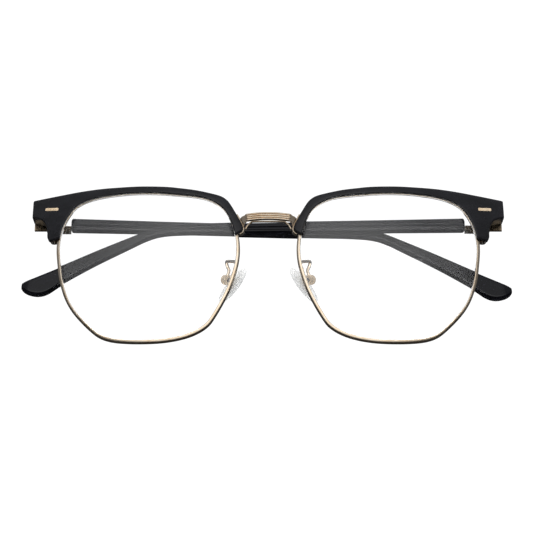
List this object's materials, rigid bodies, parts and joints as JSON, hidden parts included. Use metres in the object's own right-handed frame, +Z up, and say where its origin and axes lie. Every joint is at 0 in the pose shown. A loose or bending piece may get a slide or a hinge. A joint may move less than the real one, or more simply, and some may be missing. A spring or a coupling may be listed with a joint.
{
  "type": "browline eyeglasses",
  "caption": "Folding spectacles with full metal eyewires under plastic brow bars, a ridged metal bridge, rocking nose pads and hinged plastic arms.",
  "frame": {"origin": "under the middle of the folded object, at the height of the eyewires' lowest point", "axes": "+X towards the wearer's left, +Y from the lenses back to the folded arms, +Z up"},
  "size_m": [0.1499, 0.0239, 0.0486],
  "materials": {
    "lens": "clear uncoated demo lens, polished",
    "gold": "polished champagne-gold plate",
    "hinge_metal": "tumbled champagne-gold plate",
    "screw_metal": "machined, light gold plate",
    "core_metal": "drawn wire",
    "brow_plastic": "polished black acetate",
    "arm_plastic": "polished black acetate, fluted on the inner side",
    "pad_silicone": "translucent soft silicone",
    "pad_insert": "hard clear plastic"
  },
  "bodies": {
    "front": {"lens_right": "lens", "lens_left": "lens", "eyewire_right": "gold", "eyewire_left": "gold", "rim_lock_right": "gold", "rim_lock_left": "gold", "brow_dash_right": "gold", "brow_dash_left": "gold", "brow_clip_right": "gold", "brow_clip_left": "gold", "bridge_bar": "gold", "bridge_brace": "gold", "pad_arm_right": "gold", "pad_arm_left": "gold", "pad_box_right": "gold", "pad_box_left": "gold", "brow_right": "brow_plastic", "brow_left": "brow_plastic", "rim_screws": "screw_metal", "brow_screws": "screw_metal", "pad_screws": "screw_metal", "hinge_screw_right": "screw_metal", "hinge_screw_left": "screw_metal", "front_hinge_right": "hinge_metal", "front_hinge_left": "hinge_metal"},
    "right_arm": {"arm_right": "arm_plastic", "arm_hinge_right": "hinge_metal", "arm_core_right": "core_metal"},
    "left_arm": {"arm_left": "arm_plastic", "arm_hinge_left": "hinge_metal", "arm_core_left": "core_metal"},
    "right_pad": {"nose_pad_right": "pad_silicone", "pad_core_right": "pad_insert"},
    "left_pad": {"nose_pad_left": "pad_silicone", "pad_core_left": "pad_insert"}
  },
  "joints": [
    {"name": "right_arm_fold", "type": "hinge", "parent": "front", "child": "right_arm", "pos_m": [-0.0665, 0.00425, 0.0409], "axis": [0, 0.1392, 0.9903], "range_deg": [0, 88]},
    {"name": "left_arm_fold", "type": "hinge", "parent": "front", "child": "left_arm", "pos_m": [0.0665, 0.00425, 0.0409], "axis": [0, -0.1392, -0.9903], "range_deg": [0, 92]},
    {"name": "right_pad_rock", "type": "hinge", "parent": "front", "child": "right_pad", "pos_m": [-0.0124, -0.00328, 0.0209], "axis": [0.4755, -0.8192, -0.3207], "range_deg": [-10, 10]},
    {"name": "left_pad_rock", "type": "hinge", "parent": "front", "child": "left_pad", "pos_m": [0.0124, -0.00328, 0.0209], "axis": [0.4755, 0.8192, 0.3207], "range_deg": [-10, 10]}
  ]
}
